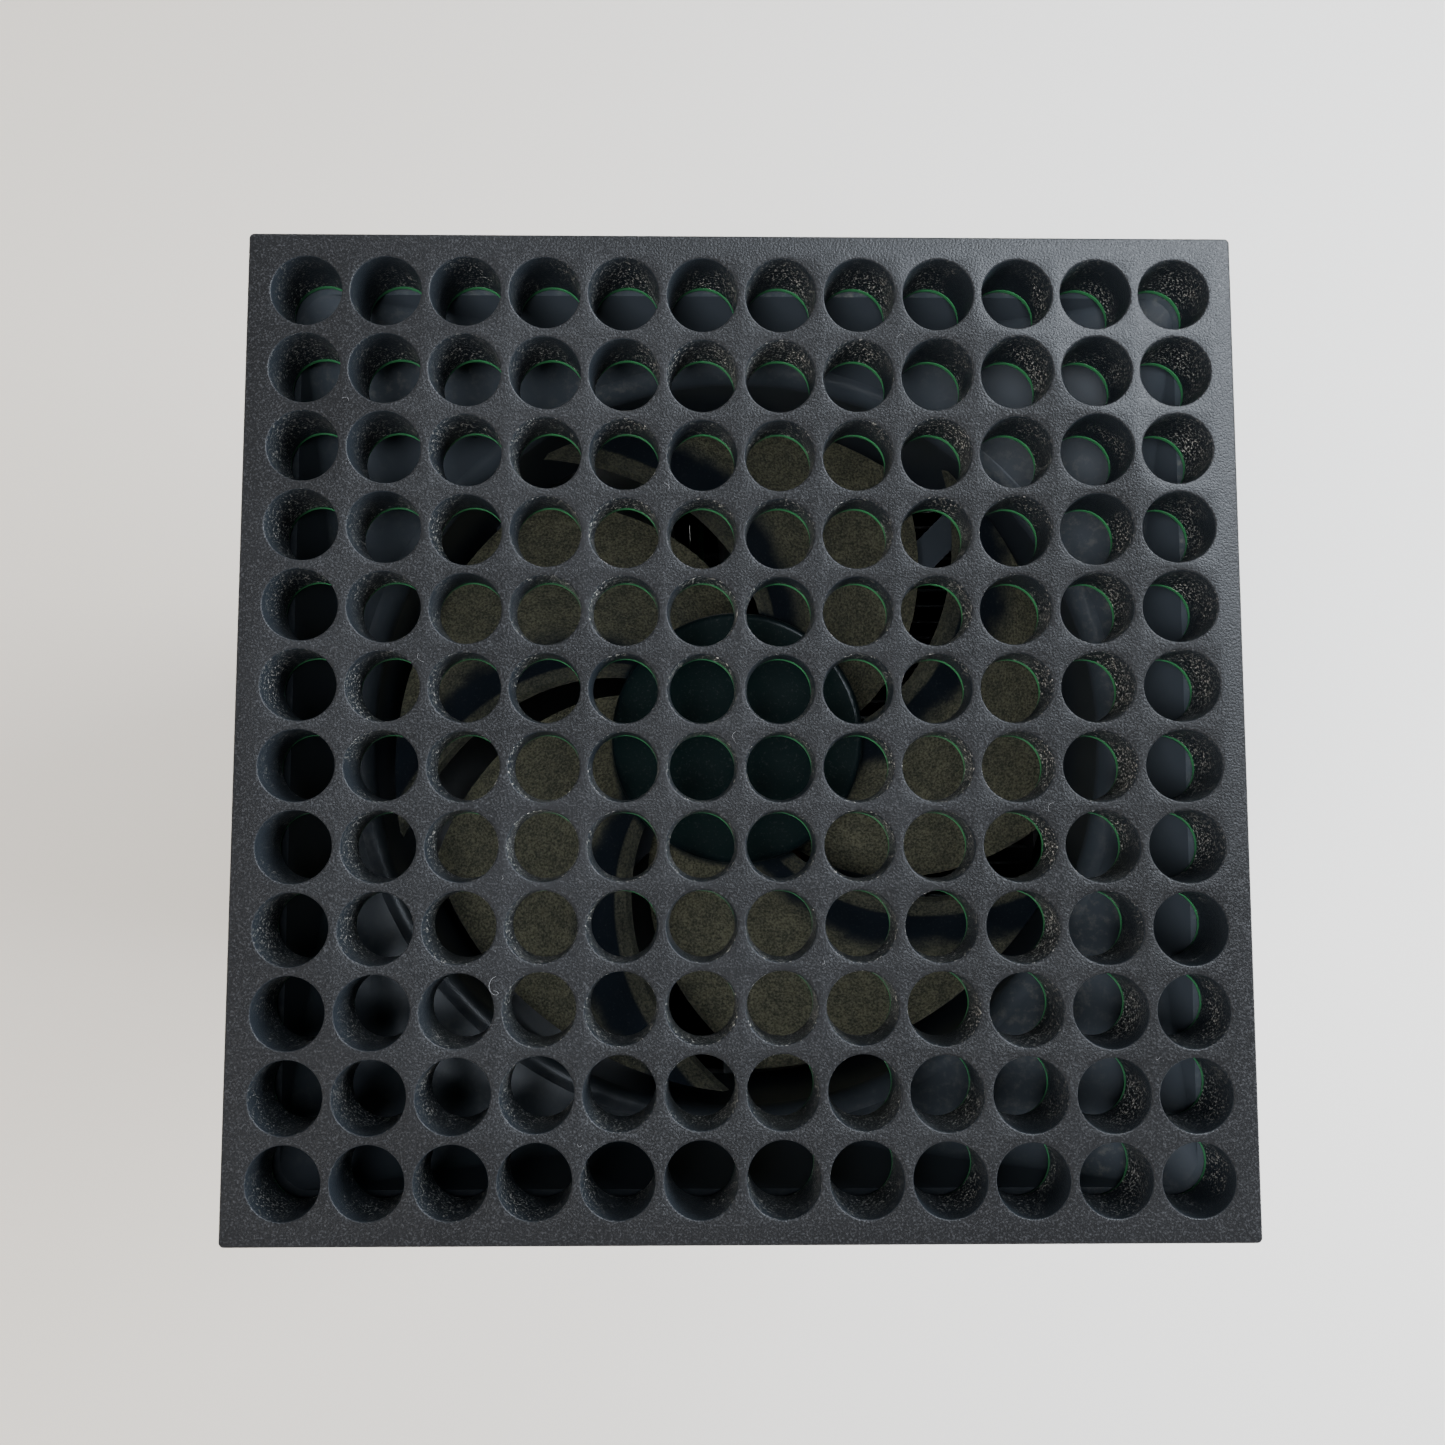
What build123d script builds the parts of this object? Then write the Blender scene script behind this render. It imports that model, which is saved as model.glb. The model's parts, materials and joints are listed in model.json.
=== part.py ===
from build123d import *
import os
from math import cos, radians, sin, sqrt

# Tower games console: a square case that draws air in at its foot and blows it out through a dished,
# perforated top, with an axial fan right below. Millimetres, +Z up, front towards -Y, origin at the
# middle of the surface that the console stands on.

# Case
side = 151.0
height = 301.0
wall = 2.5
edge_radius = 0.8
foot_gap = 5.0
floor_thickness = 3.0
slip = 0.3
snug = 0.2
half = side / 2
inside = half - wall
floor_top = foot_gap + floor_thickness

# Screws and blocks of the case
corner_block = 6.7
corner_block_height = 12.0
core_screw_place = 58.0
base_screw_radius = 1.2
base_screw_head = (2.8, 1.6)
base_screw_length = 6.8
base_screw_recess = (1.2, 0.9)
screw_hole_depth = 9.0
rear_screw_places = [(-66.0, 14.0), (66.0, 14.0)]
rear_screw_radius = 1.5
rear_screw_head = (3.0, 1.0)
rear_screw_seat = half - 1.2
rear_screw_length = 3.8
rear_screw_recess = (1.1, 0.7)
screw_clearance = 1.7

# Feet
foot_outer = 62.0
foot_inner = 52.0
foot_notch_count = 24
foot_notch_width = 8.0
foot_notch_roof = 0.8
foot_ring_height = 1.2
side_foot_radius = 5.0
side_foot_height = 1.6
side_foot_pocket = 0.8
side_foot_places = [(y, z) for z in (40.0, 261.0) for y in (-50.0, 50.0)]

# Vent holes in the base and slots in the back
intake_rings = 6
intake_pitch = 7.5
intake_hole_radius = 2.4
slot_columns = 18
slot_rows = 4
slot_pitch = (7.0, 22.0)
slot_size = (13.0, 2.6)
slots_middle = 226.0

# Dished top and the painted plate under it
grille_depth = 10.0
dish_depth = 6.9
dish_rim_radius = 72.5
hole_count = 12
hole_pitch = 12.09
hole_radius = 5.3
liner_thickness = 0.8
liner_hole_radius = 5.2
grille_bottom = height - grille_depth

# Fan: the rotor
hub_top = height - 28.0
hub_radius = 21.75
hub_height = 23.0
hub_wall = 1.6
hub_roof = 2.0
boss_radius = 4.0
boss_depth = 9.0
shaft_socket = 6.0
yoke_thickness = 0.9
magnet_thickness = 1.3
magnet_height = 15.0
magnet_bottom = hub_top - 20.5
tip_radius = 60.3
blade_count = 5
blade_root = 20.0
blade_rings = 8
blade_ring_step = 6.2
blade_steps = 12
blade_span = 66.0
blade_sweep = 1.2
blade_edge_angle = 19.4
blade_edge_radius = 33.0
blade_rise = 18.0
blade_thickness = 1.5
blade_drop = 2.5
shaft_radius = 1.5

# Fan: the frame, the motor's fixed parts and the funnel on top
bore_radius = 62.3
bearing_clearance = 0.03
bearing_height = 11.6
tube_radius = 4.0
tube_wall = 1.2
tube_height = 15.0
fan_frame_size = 142.0
fan_frame_height = 28.0
fan_frame_top = hub_top + 2.0
fan_frame_bottom = fan_frame_top - fan_frame_height
flange = 3.5
duct_wall = 2.0
motor_floor = 2.4
motor_arm = (44.0, 6.0)
motor_arm_middle = 42.0
stator_radius = 17.4
stator_height = 12.0
stator_lift = 2.6
pole_count = 9
pole_width = 3.0
pole_length = 8.6
pole_middle = 12.0
pole_face = (1.6, 9.6)
pole_face_inset = 1.1
stator_yoke_radius = 8.5
glue_gap = 0.1
winding_width = 5.2
winding_overhang = 0.8
drive_board_radius = 18.5
drive_board_thickness = 1.0
fan_post_place = 62.0
fan_post_radius = 4.5
fan_screw_radius = 1.3
fan_screw_head = (2.8, 1.8)
fan_screw_grip = 9.0
shroud_seat = (65.6, 69.0)
shroud_mouth = inside - 3 * slip
shroud_mouth_corner = 6.0
shroud_thickness = 1.4
shroud_top = grille_bottom - liner_thickness - slip

# Core: an upright cast plate with a board on each side of it
core_top = fan_frame_bottom
core_plate = 2.0
standoff = 4.0
board = 1.6
board_x = core_plate + standoff
board_front = -66.0
board_back = 68.0
mainboard_z = (14.0, 240.0)
io_board_z = (14.0, 148.0)
core_half = 66.0
core_ring = 4.0
core_window = (48.0, 100.0)
core_window_pitch = 58.0
cooler_window_y = (-40.0, 40.0)
cooler_window_z = (150.0, 180.0)
boss_outer = 3.2
board_screw_radius = 1.0
board_screw_head = (2.4, 1.4)
board_screw_grip = 3.0

# Processor side: places along Z, and sizes (Y, Z)
processor_z = 168.0
package_size = (36.0, 36.0)
die_size = (21.0, 19.0)
package_thickness = 1.6
memory_thickness = 1.2
memory_size = (12.0, 14.0)
memory_columns = (-34.0, 34.0)
memory_rows = (-27.0, -9.0, 9.0, 27.0)
upper_memory_y = (-9.0, 9.0)
upper_memory_rise = 34.0
pad_length = 66.0
coil_columns = (-40.0, -24.0, -8.0, 8.0, 24.0, 40.0)
coil_size = (6.0, 10.0)
coil_z = (88.0, 98.0)
coin_cell_place = (-30.0, 60.0)
coin_cell_size = (10.0, 3.2)
chamber_gap = 2.6
chamber_thickness = 3.5
chamber_y = (-52.0, 52.0)
chamber_z = (112.0, 236.0)
fin_count = 31
fin_pitch = 3.3
fin_thickness = 0.5
fin_end_x = 60.0
duct_skin = 1.0
duct_half = 56.5
duct_front_x = 20.0

# Parts of the second board, and what stands beside it
card_board_y = (-52.0, 22.0)
card_board_lift = (1.6, 2.4)
card_socket_y = (22.0, 28.0)
card_socket_height = 3.0
card_board_z = (16.0, 38.0)
wireless_y = (-50.0, -20.0)
wireless_z = (60.0, 86.0)
wireless_thickness = 2.2
aerial_x = (66.0, 67.0)
aerial_columns = ((-40.0, 0.0), (10.0, 50.0))
aerial_z = (30.0, 42.0)
speaker_x = (-40.0, -16.0)
speaker_y = (-62.0, -54.0)
speaker_z = (80.0, 104.0)
speaker_cone = (9.0, 2.0)

# Disc drive, upright behind the front's left half
drive_x = (-66.0, -48.0)
drive_y = (-66.0, 62.0)
drive_z = (16.0, 146.0)
drive_skin = 0.8
drive_base = 2.0
drive_wall = 1.5
drive_front_wall = 4.0
roller_block = (8.0, 1.5)
disc_x = -57.0
disc_axis = (-3.0, 80.5)
slot_width = 5.0
slot_height = 123.0
roller_y = -60.0
roller_inset = 3.3
roller_radius = 2.2
roller_shaft = 1.0
roller_seat = 1.05
disc_motor_size = (12.0, 2.5)
spindle_plate = (13.0, 1.4)
spindle_hub = (7.3, 2.4)
spindle_gap = 0.3
guide_rod_radius = 1.2
guide_rod_lift = 2.6
guide_rod_spread = 20.0
guide_rod_y = (14.0, 58.0)
guide_block = (2.0, 5.0)
guide_block_height = 4.4
sled_size = (15.0, 46.0)
sled_lift = (0.6, 4.6)
sled_lens = (3.0, 0.6)
sled_clearance = 0.05

# Power supply, upright behind the left side, above the drive
supply_x = (-68.0, -14.0)
supply_y = (-62.0, 62.0)
supply_z = (153.0, 238.0)
supply_skin = 1.0
supply_board_lift = 4.0
supply_board_end = 30.0
transformer_height = 30.0
transformer_y = (-20.0, 10.0)
transformer_z = (190.0, 222.0)
capacitor_columns = (-48.0, -30.0)
capacitor_z = 175.0
capacitor_size = (8.0, 32.0)

# Front controls: (x, z) of each centre
power_place = (-57.0, 261.0)
power_radius = 6.0
eject_place = (-38.0, 60.0)
eject_radius = 3.5
pair_place = (40.0, 60.0)
pair_radius = 2.2
window_place = (20.0, 60.0)
window_radius = 2.6
button_travel = 0.8
button_collar = (1.2, 0.8)
button_stem = (1.2, 1.2)
switch_size = 2.4
switch_gap = 0.1
front_board_y = (-69.6, -68.0)
power_board_size = (17.0, 19.0)
lower_board_x = (-46.0, 70.0)
lower_board_z = (50.0, 70.0)

# Sockets: (width across X, height along Z) of each opening
usb_opening = (5.2, 12.8)
video_opening = (5.2, 14.6)
network_opening = (8.2, 12.0)
card_opening = (5.6, 30.0)
inlet_opening = (9.0, 17.5)
socket_skin = 0.7
socket_back = 1.0
socket_mouth = half - 0.4
front_usb_place = (56.0, 60.0)
rear_usb_places = [(11.4, 62.0), (11.4, 44.0)]
video_place = (11.4, 84.0)
network_place = (13.0, 25.0)
card_place = (-14.0, 110.0)
inlet_place = (-40.0, 170.0)
front_usb_end = -62.0
rear_socket_end = 58.0
card_end = 40.0
inlet_end = 56.0


def save(piece, name):
    """Name a finished piece and write it to its own file."""
    piece.part.label = name
    export_step(piece.part, f"parts/{name}.step")


def slab(x, y, z, mode=Mode.ADD):
    """Add or cut a block that spans the ranges x, y and z."""
    with Locations((sum(x) / 2, sum(y) / 2, sum(z) / 2)):
        Box(x[1] - x[0], y[1] - y[0], z[1] - z[0], mode=mode)


def around(centre, size):
    """The range of the given size around a centre."""
    return (centre - size / 2, centre + size / 2)


def rod(start, direction, radius, length, mode=Mode.ADD):
    """Add or cut a round rod from start along direction."""
    with Locations(Plane(origin=start, z_dir=direction)):
        Cylinder(radius, length, align=(Align.CENTER, Align.CENTER, Align.MIN), mode=mode)


def ring(z, outer, inner, depth):
    """Add a flat ring about the fan's axis."""
    with BuildSketch(Plane.XY.offset(z)) as outline:
        Circle(outer)
        Circle(inner, mode=Mode.SUBTRACT)
    extrude(outline.sketch, amount=depth)


def corners(place):
    """The four corners of a square around the axis."""
    return [(x, y) for x in (-place, place) for y in (-place, place)]


# ---------------------------------------------------------------- case

def make_top_grille():
    """Moulded top: a square plate with a shallow bowl in it and a grid of round holes."""
    bowl_radius = (dish_rim_radius**2 + dish_depth**2) / (2 * dish_depth)
    above = 1.0
    arc_end = sqrt(bowl_radius**2 - (bowl_radius - dish_depth - above) ** 2)
    with BuildPart() as top_grille:
        with BuildSketch(Plane.XY.offset(grille_bottom)):
            RectangleRounded(side, side, edge_radius)
        extrude(amount=grille_depth)
        fillet(top_grille.edges().group_by(Axis.Z)[-1], edge_radius / 2)
        with BuildSketch(Plane.XZ):
            with BuildLine():
                RadiusArc((0, height - dish_depth), (arc_end, height + above), -bowl_radius)
                Polyline((arc_end, height + above), (0, height + above), (0, height - dish_depth))
            make_face()
        revolve(axis=Axis.Z, mode=Mode.SUBTRACT)
        with BuildSketch(Plane.XY.offset(grille_bottom)):
            with GridLocations(hole_pitch, hole_pitch, hole_count, hole_count):
                Circle(hole_radius)
        extrude(amount=grille_depth, mode=Mode.SUBTRACT)
    save(top_grille, "top_grille")


def make_grille_liner():
    """Thin painted plate under the top; its holes are a little smaller than the top's."""
    with BuildPart() as grille_liner:
        with BuildSketch(Plane.XY.offset(grille_bottom - liner_thickness)):
            RectangleRounded(2 * (inside - 2 * slip), 2 * (inside - 3 * slip), 2)
            with GridLocations(hole_pitch, hole_pitch, hole_count, hole_count):
                Circle(liner_hole_radius, mode=Mode.SUBTRACT)
        extrude(amount=liner_thickness)
    save(grille_liner, "grille_liner")


def make_outer_shell():
    """Front and both sides in one moulding, open at the back, with a screw block in each bottom corner."""
    pocket_floor = half - side_foot_pocket
    block_z = (floor_top, floor_top + corner_block_height)
    with BuildPart() as outer_shell:
        with BuildSketch(Plane.XY.offset(foot_gap)):
            RectangleRounded(side, side, edge_radius)
            with Locations((0, 2 * wall)):
                Rectangle(2 * inside, side + 2 * wall, mode=Mode.SUBTRACT)
        extrude(amount=grille_bottom - foot_gap)
        for x, y in base_screw_places():
            slab(around(x, corner_block), around(y, corner_block), block_z)
            rod((x, y, floor_top), (0, 0, 1), base_screw_radius, screw_hole_depth, Mode.SUBTRACT)
        front = (-half - 1, -inside + 1)
        slab(around(disc_x, slot_width), front, around(disc_axis[1], slot_height), Mode.SUBTRACT)
        usb = [size + 2 * socket_skin + slip for size in usb_opening]
        slab(around(front_usb_place[0], usb[0]), front, around(front_usb_place[1], usb[1]), Mode.SUBTRACT)
        for place, radius in ((power_place, power_radius + slip), (eject_place, eject_radius + slip),
                              (pair_place, pair_radius + slip), (window_place, window_radius)):
            rod((place[0], front[0], place[1]), (0, 1, 0), radius, front[1] - front[0], Mode.SUBTRACT)
        for y, z in side_foot_places:
            rod((pocket_floor, y, z), (1, 0, 0), side_foot_radius + snug, side_foot_height, Mode.SUBTRACT)
    save(outer_shell, "outer_shell")


def make_side_feet():
    """Four round rubber feet in shallow pockets in the right side, for laying the console down."""
    with BuildPart() as side_feet:
        for y, z in side_foot_places:
            rod((half - side_foot_pocket, y, z), (1, 0, 0), side_foot_radius, side_foot_height)
        fillet(side_feet.faces().group_by(Axis.X)[-1].edges(), 0.5)
    save(side_feet, "side_feet")


def make_rear_panel():
    """Back of the case: a flat panel with rows of vent slots and a cut-out for each socket."""
    panel_z = (foot_gap + slip, grille_bottom - slip)
    panel_x = (-inside + slip, inside - slip)
    back = (inside, half)
    cut = (inside - 1, half + 1)
    margin = 2 * socket_skin + slip
    slot_plane = Plane(origin=(0, half, slots_middle), x_dir=(-1, 0, 0), z_dir=(0, 1, 0))
    with BuildPart() as rear_panel:
        slab(panel_x, back, panel_z)
        fillet(rear_panel.edges().filter_by(Axis.Z).group_by(Axis.Y)[-1], 0.6)
        with BuildSketch(slot_plane):
            with GridLocations(*slot_pitch, slot_columns, slot_rows):
                SlotCenterToCenter(*slot_size, rotation=90)
        extrude(amount=-wall, mode=Mode.SUBTRACT)
        openings = [(video_place, video_opening), (network_place, network_opening),
                    (card_place, card_opening), (inlet_place, inlet_opening)]
        openings += [(place, usb_opening) for place in rear_usb_places]
        for place, size in openings:
            slab(around(place[0], size[0] + margin), cut, around(place[1], size[1] + margin), Mode.SUBTRACT)
        for x, z in rear_screw_places:
            rod((x, cut[0], z), (0, 1, 0), screw_clearance, wall + 2, Mode.SUBTRACT)
            rod((x, rear_screw_seat, z), (0, 1, 0), rear_screw_head[0] + slip, wall, Mode.SUBTRACT)
    save(rear_panel, "rear_panel")


def make_rear_screws():
    """Two screws that hold the rear panel's bottom edge to the shell's rear blocks."""
    with BuildPart() as rear_screws:
        for x, z in rear_screw_places:
            rod((x, rear_screw_seat, z), (0, 1, 0), *rear_screw_head)
            rod((x, rear_screw_seat, z), (0, -1, 0), rear_screw_radius, rear_screw_length)
            recess_plane = Plane(origin=(x, rear_screw_seat + rear_screw_head[1], z), z_dir=(0, 1, 0))
            with BuildSketch(recess_plane) as recess:
                RegularPolygon(rear_screw_recess[0], 6)
            extrude(recess.sketch, amount=-rear_screw_recess[1], mode=Mode.SUBTRACT)
    save(rear_screws, "rear_screws")


def make_base_plate():
    """Floor of the case, with a round field of intake holes and a hole for each screw."""
    with BuildPart() as base_plate:
        with BuildSketch(Plane.XY.offset(foot_gap)):
            Rectangle(2 * (inside - slip), 2 * (inside - 2 * slip))
            for count in range(1, intake_rings + 1):
                with PolarLocations(intake_pitch * count, 6 * count):
                    Circle(intake_hole_radius, mode=Mode.SUBTRACT)
            with Locations(*base_screw_places(), *corners(core_screw_place)):
                Circle(screw_clearance, mode=Mode.SUBTRACT)
        extrude(amount=floor_thickness)
    save(base_plate, "base_plate")


def base_screw_places():
    """Where the case's own screws go up into the shell's corner blocks."""
    return [(x, y) for x in (-inside + corner_block / 2, inside - corner_block / 2)
            for y in (-inside + corner_block / 2, inside - corner_block)]


def make_bottom_screws():
    """Screws through the base plate: four into the shell and four into the core, heads underneath."""
    with BuildPart() as bottom_screws:
        for x, y in base_screw_places() + corners(core_screw_place):
            rod((x, y, foot_gap), (0, 0, -1), *base_screw_head)
            rod((x, y, foot_gap), (0, 0, 1), base_screw_radius, base_screw_length)
            with BuildSketch(Plane.XY.offset(foot_gap - base_screw_head[1])) as recess:
                with Locations((x, y)):
                    RegularPolygon(base_screw_recess[0], 6)
            extrude(recess.sketch, amount=base_screw_recess[1], mode=Mode.SUBTRACT)
    save(bottom_screws, "bottom_screws")


def make_base_foot():
    """Round foot under the base plate, notched so that air gets in below the case."""
    notch = (foot_outer - foot_inner + 4, foot_notch_width)
    notch_z = (2 * foot_ring_height, foot_gap - foot_notch_roof)
    with BuildPart() as base_foot:
        ring(foot_ring_height, foot_outer, foot_inner, foot_gap - foot_ring_height)
        with BuildSketch(Plane.XY.offset(notch_z[0])):
            with PolarLocations((foot_outer + foot_inner) / 2, foot_notch_count):
                Rectangle(*notch)
        extrude(amount=notch_z[1] - notch_z[0], mode=Mode.SUBTRACT)
        fillet(base_foot.faces().group_by(Axis.Z)[0].edges().sort_by(SortBy.LENGTH)[-1], 0.8)
    save(base_foot, "base_foot")


def make_foot_ring():
    """Rubber ring glued under the foot, on which the console stands."""
    with BuildPart() as foot_ring:
        ring(0, foot_outer - 2, foot_inner + 2, foot_ring_height)
        fillet(foot_ring.faces().group_by(Axis.Z)[0].edges(), 0.4)
    save(foot_ring, "foot_ring")


# ---------------------------------------------------------------- fan

def blade_point(radius, share, lift):
    """A point on a blade's mid surface: share runs from its low edge, 0, to its high edge, 1."""
    high_edge = blade_edge_angle + blade_sweep * (radius - blade_edge_radius)
    angle = radians(high_edge - blade_span * (1 - share))
    climb = 0.7 * share + 0.3 * share**2
    z = hub_top - blade_drop - blade_rise * (1 - climb) + lift
    return (radius * cos(angle), radius * sin(angle), z)


def make_fan_impeller():
    """Hub cup and five wide, overlapping, swept blades in one moulding, with a boss for the shaft."""
    radii = [blade_root + step * blade_ring_step for step in range(blade_rings)]
    shares = [step / blade_steps for step in range(blade_steps + 1)]
    grid = [[Vector(*blade_point(radius, share, 0)) for share in shares] for radius in radii]
    surface = Face.make_surface_from_array_of_points(grid)
    hub_bottom = hub_top - hub_height
    with BuildPart() as blade:
        thicken(surface, amount=blade_thickness / 2, both=True)
        with BuildSketch(Plane.XY.offset(hub_bottom)):
            Circle(tip_radius)
            Circle(hub_radius - hub_wall / 2, mode=Mode.SUBTRACT)
        extrude(amount=hub_height + 4, mode=Mode.INTERSECT)
    with BuildPart() as fan_impeller:
        with BuildSketch(Plane.XY.offset(hub_bottom)):
            Circle(hub_radius)
        extrude(amount=hub_height)
        fillet(fan_impeller.faces().sort_by(Axis.Z)[-1].edges(), 1.2)
        with BuildSketch(Plane.XY.offset(hub_bottom)):
            Circle(hub_radius - hub_wall)
        extrude(amount=hub_height - hub_roof, mode=Mode.SUBTRACT)
        rod((0, 0, hub_top - boss_depth), (0, 0, 1), boss_radius, boss_depth - hub_roof / 2)
        with PolarLocations(0, blade_count):
            add(blade.part)
        rod((0, 0, hub_top - boss_depth), (0, 0, 1), shaft_radius, shaft_socket, Mode.SUBTRACT)
    save(fan_impeller, "fan_impeller")


def make_fan_rotor_parts():
    """Steel yoke and magnet ring inside the hub cup, and the shaft pressed into its boss."""
    yoke_radius = hub_radius - hub_wall
    magnet_radius = yoke_radius - yoke_thickness
    shaft_bottom = fan_frame_bottom + motor_floor + 0.6
    shaft_top = hub_top - boss_depth + shaft_socket
    with BuildPart() as fan_yoke:
        ring(magnet_bottom, yoke_radius, magnet_radius, magnet_height)
    save(fan_yoke, "fan_yoke")
    with BuildPart() as fan_magnet:
        ring(magnet_bottom, magnet_radius, magnet_radius - magnet_thickness, magnet_height)
    save(fan_magnet, "fan_magnet")
    with BuildPart() as fan_shaft:
        rod((0, 0, shaft_bottom), (0, 0, 1), shaft_radius, shaft_top - shaft_bottom)
        chamfer(fan_shaft.edges().filter_by(GeomType.CIRCLE).sort_by(Axis.Z)[0], 0.3)
    save(fan_shaft, "fan_shaft")


def make_fan_housing():
    """Square fan frame: two flanges joined by a round duct, with four arms that carry the motor."""
    with BuildPart() as fan_housing:
        for z in (fan_frame_bottom, fan_frame_top - flange):
            with BuildSketch(Plane.XY.offset(z)):
                RectangleRounded(fan_frame_size, fan_frame_size, 5)
            extrude(amount=flange)
        rod((0, 0, fan_frame_bottom), (0, 0, 1), bore_radius + duct_wall, fan_frame_height)
        for x, y in corners(fan_post_place):
            rod((x, y, fan_frame_bottom), (0, 0, 1), fan_post_radius, fan_frame_height)
        rod((0, 0, fan_frame_bottom), (0, 0, 1), bore_radius, fan_frame_height, Mode.SUBTRACT)
        rims = fan_housing.edges().filter_by(GeomType.CIRCLE)
        bore_rims = rims.filter_by(lambda rim: abs(rim.radius - bore_radius) < 0.01)
        fillet(bore_rims.sort_by(Axis.Z)[-1], flange - 0.4)
        with BuildSketch(Plane.XY.offset(fan_frame_bottom)):
            Circle(hub_radius - 1)
            with PolarLocations(motor_arm_middle, 4, start_angle=45):
                Rectangle(*motor_arm)
        extrude(amount=motor_floor)
        rod((0, 0, fan_frame_bottom), (0, 0, 1), tube_radius + tube_wall, tube_height)
        rod((0, 0, fan_frame_bottom + motor_floor), (0, 0, 1), tube_radius, tube_height, Mode.SUBTRACT)
        for x, y in corners(fan_post_place):
            rod((x, y, fan_frame_bottom), (0, 0, 1), fan_screw_radius, fan_screw_grip + 1, Mode.SUBTRACT)
    save(fan_housing, "fan_housing")


def make_fan_shroud():
    """Smooth funnel from the fan's round duct out to the square of the case, right up to the liner."""
    inner_mouth = shroud_mouth - shroud_thickness
    inner_corner = shroud_mouth_corner - shroud_thickness
    with BuildPart() as fan_shroud:
        for seat, mouth, corner, mode in ((shroud_seat[1], shroud_mouth, shroud_mouth_corner, Mode.ADD),
                                          (shroud_seat[0], inner_mouth, inner_corner, Mode.SUBTRACT)):
            with BuildSketch(Plane.XY.offset(fan_frame_top)):
                RectangleRounded(2 * seat, 2 * seat, seat - snug)
            with BuildSketch(Plane.XY.offset(shroud_top)):
                RectangleRounded(2 * mouth, 2 * mouth, corner)
            loft(mode=mode)
    save(fan_shroud, "fan_shroud")


def make_fan_motor():
    """Bearing, slotted steel core, its windings and the drive board, all fixed to the housing."""
    floor = fan_frame_bottom + motor_floor
    core_bottom = floor + stator_lift
    with BuildPart() as fan_bearing:
        ring(floor, tube_radius, shaft_radius + bearing_clearance, bearing_height)
    save(fan_bearing, "fan_bearing")
    with BuildPart() as fan_stator:
        with BuildSketch(Plane.XY.offset(core_bottom)):
            Circle(stator_yoke_radius)
            with PolarLocations(pole_middle, pole_count):
                Rectangle(pole_length, pole_width)
            with PolarLocations(stator_radius - pole_face_inset, pole_count):
                Rectangle(*pole_face)
            Circle(stator_radius, mode=Mode.INTERSECT)
            Circle(tube_radius + tube_wall + glue_gap, mode=Mode.SUBTRACT)
        extrude(amount=stator_height)
    save(fan_stator, "fan_stator")
    with BuildPart() as fan_windings:
        with Locations((0, 0, core_bottom + stator_height / 2)):
            with PolarLocations(pole_middle + snug, pole_count):
                Box(winding_width, winding_width, stator_height + 2 * winding_overhang)
                Box(winding_width, pole_width, stator_height, mode=Mode.SUBTRACT)
    save(fan_windings, "fan_windings")
    with BuildPart() as fan_drive_board:
        ring(floor, drive_board_radius, tube_radius + tube_wall + snug, drive_board_thickness)
    save(fan_drive_board, "fan_drive_board")


def make_fan_screws():
    """Four screws that come up through the core's top ring into the fan frame's corner posts."""
    with BuildPart() as fan_screws:
        for x, y in corners(fan_post_place):
            rod((x, y, core_top - core_ring), (0, 0, -1), *fan_screw_head)
            rod((x, y, core_top - core_ring), (0, 0, 1), fan_screw_radius, core_ring + fan_screw_grip)
    save(fan_screws, "fan_screws")


# ---------------------------------------------------------------- core

def make_core_chassis():
    """Cast plate across the middle, with a ring on top for the fan and a frame at the bottom."""
    with BuildPart() as core_chassis:
        slab((-core_plate, core_plate), (board_front, board_back), (floor_top, core_top))
        with BuildSketch(Plane.XY.offset(core_top - core_ring)):
            Rectangle(fan_frame_size, fan_frame_size)
            Circle(bore_radius, mode=Mode.SUBTRACT)
            with Locations(*corners(fan_post_place)):
                Circle(fan_screw_radius + snug, mode=Mode.SUBTRACT)
        extrude(amount=core_ring)
        with BuildSketch(Plane.XY.offset(floor_top)):
            Rectangle(2 * core_half, 2 * core_half - 4)
            with GridLocations(core_window_pitch, 0, 2, 1):
                Rectangle(*core_window, mode=Mode.SUBTRACT)
            with Locations(*corners(core_screw_place)):
                Circle(base_screw_radius, mode=Mode.SUBTRACT)
        extrude(amount=core_ring)
        for y, z in board_screw_places():
            rod((-board_x, y, z), (1, 0, 0), boss_outer, 2 * board_x)
            rod((-board_x, y, z), (1, 0, 0), board_screw_radius, 2 * board_x, Mode.SUBTRACT)
        slab((-board_x, board_x), cooler_window_y, cooler_window_z, Mode.SUBTRACT)
    save(core_chassis, "core_chassis")


def board_screw_places():
    """(y, z) of the bosses that both boards are screwed to."""
    return [(y, z) for y in (-60.0, 60.0) for z in (98.0, 140.0)] + [(-60.0, 30.0), (35.0, 30.0)]


def make_mainboard():
    """Main circuit board on the right of the core."""
    with BuildPart() as mainboard:
        slab((board_x, board_x + board), (board_front, board_back), mainboard_z)
        for y, z in board_screw_places():
            rod((board_x - 1, y, z), (1, 0, 0), board_screw_radius + snug, board + 2, Mode.SUBTRACT)
    save(mainboard, "mainboard")


def make_io_board():
    """Second circuit board on the left of the core, behind the disc drive."""
    with BuildPart() as io_board:
        slab((-board_x - board, -board_x), (board_front, board_back), io_board_z)
        for y, z in board_screw_places():
            rod((-board_x - board - 1, y, z), (1, 0, 0), board_screw_radius + snug, board + 2, Mode.SUBTRACT)
    save(io_board, "io_board")


def make_board_screws():
    """Screws that hold both boards to the core's bosses."""
    with BuildPart() as board_screws:
        for way in (-1, 1):
            for y, z in board_screw_places():
                face = way * (board_x + board)
                rod((face, y, z), (way, 0, 0), *board_screw_head)
                rod((face, y, z), (-way, 0, 0), board_screw_radius, board + board_screw_grip)
    save(board_screws, "board_screws")


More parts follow.
